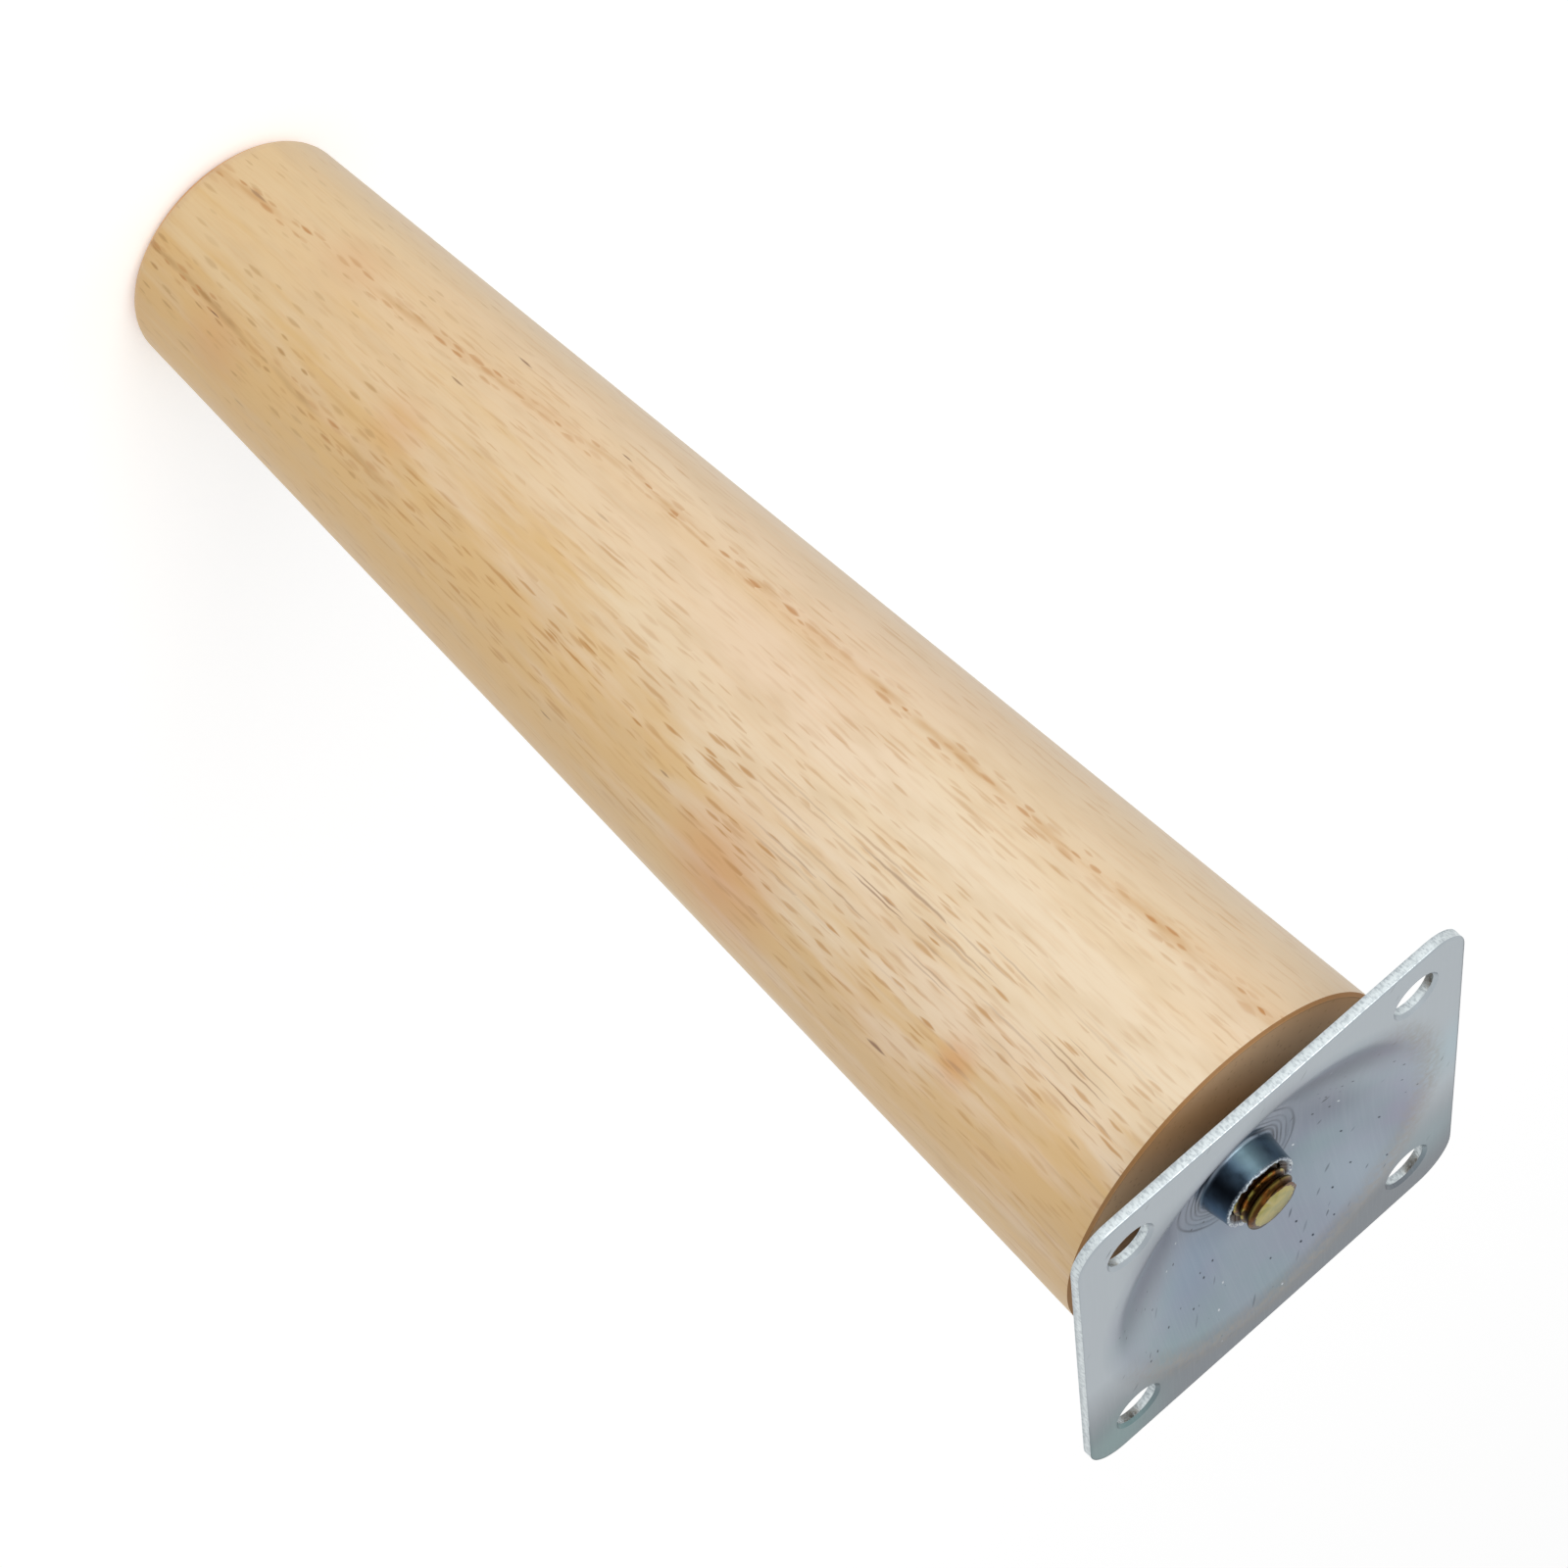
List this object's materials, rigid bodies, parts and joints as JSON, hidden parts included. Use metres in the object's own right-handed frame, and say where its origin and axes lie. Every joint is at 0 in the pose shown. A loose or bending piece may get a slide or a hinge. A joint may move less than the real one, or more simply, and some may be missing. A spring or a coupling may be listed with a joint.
{
  "type": "wooden furniture leg",
  "caption": "Round tapered wooden furniture leg on a square dished steel mounting plate, joined by a hanger bolt that threads into the plate's drawn collar.",
  "frame": {"origin": "centre of the plate's mounting face, which is also the centre of its screw holes", "axes": "+Z out of the mounting face, towards the furniture, with the leg hanging along -Z; X and Y along the plate's edges"},
  "size_m": [0.062, 0.062, 0.2],
  "materials": {
    "rubberwood": "sanded, satin clear coat",
    "zinc_plate": "blue-white zinc plating",
    "yellow_zinc": "yellow chromated zinc plating"
  },
  "bodies": {
    "root": {"wooden_leg": "rubberwood", "mounting_plate": "zinc_plate", "hanger_bolt": "yellow_zinc"}
  },
  "joints": []
}
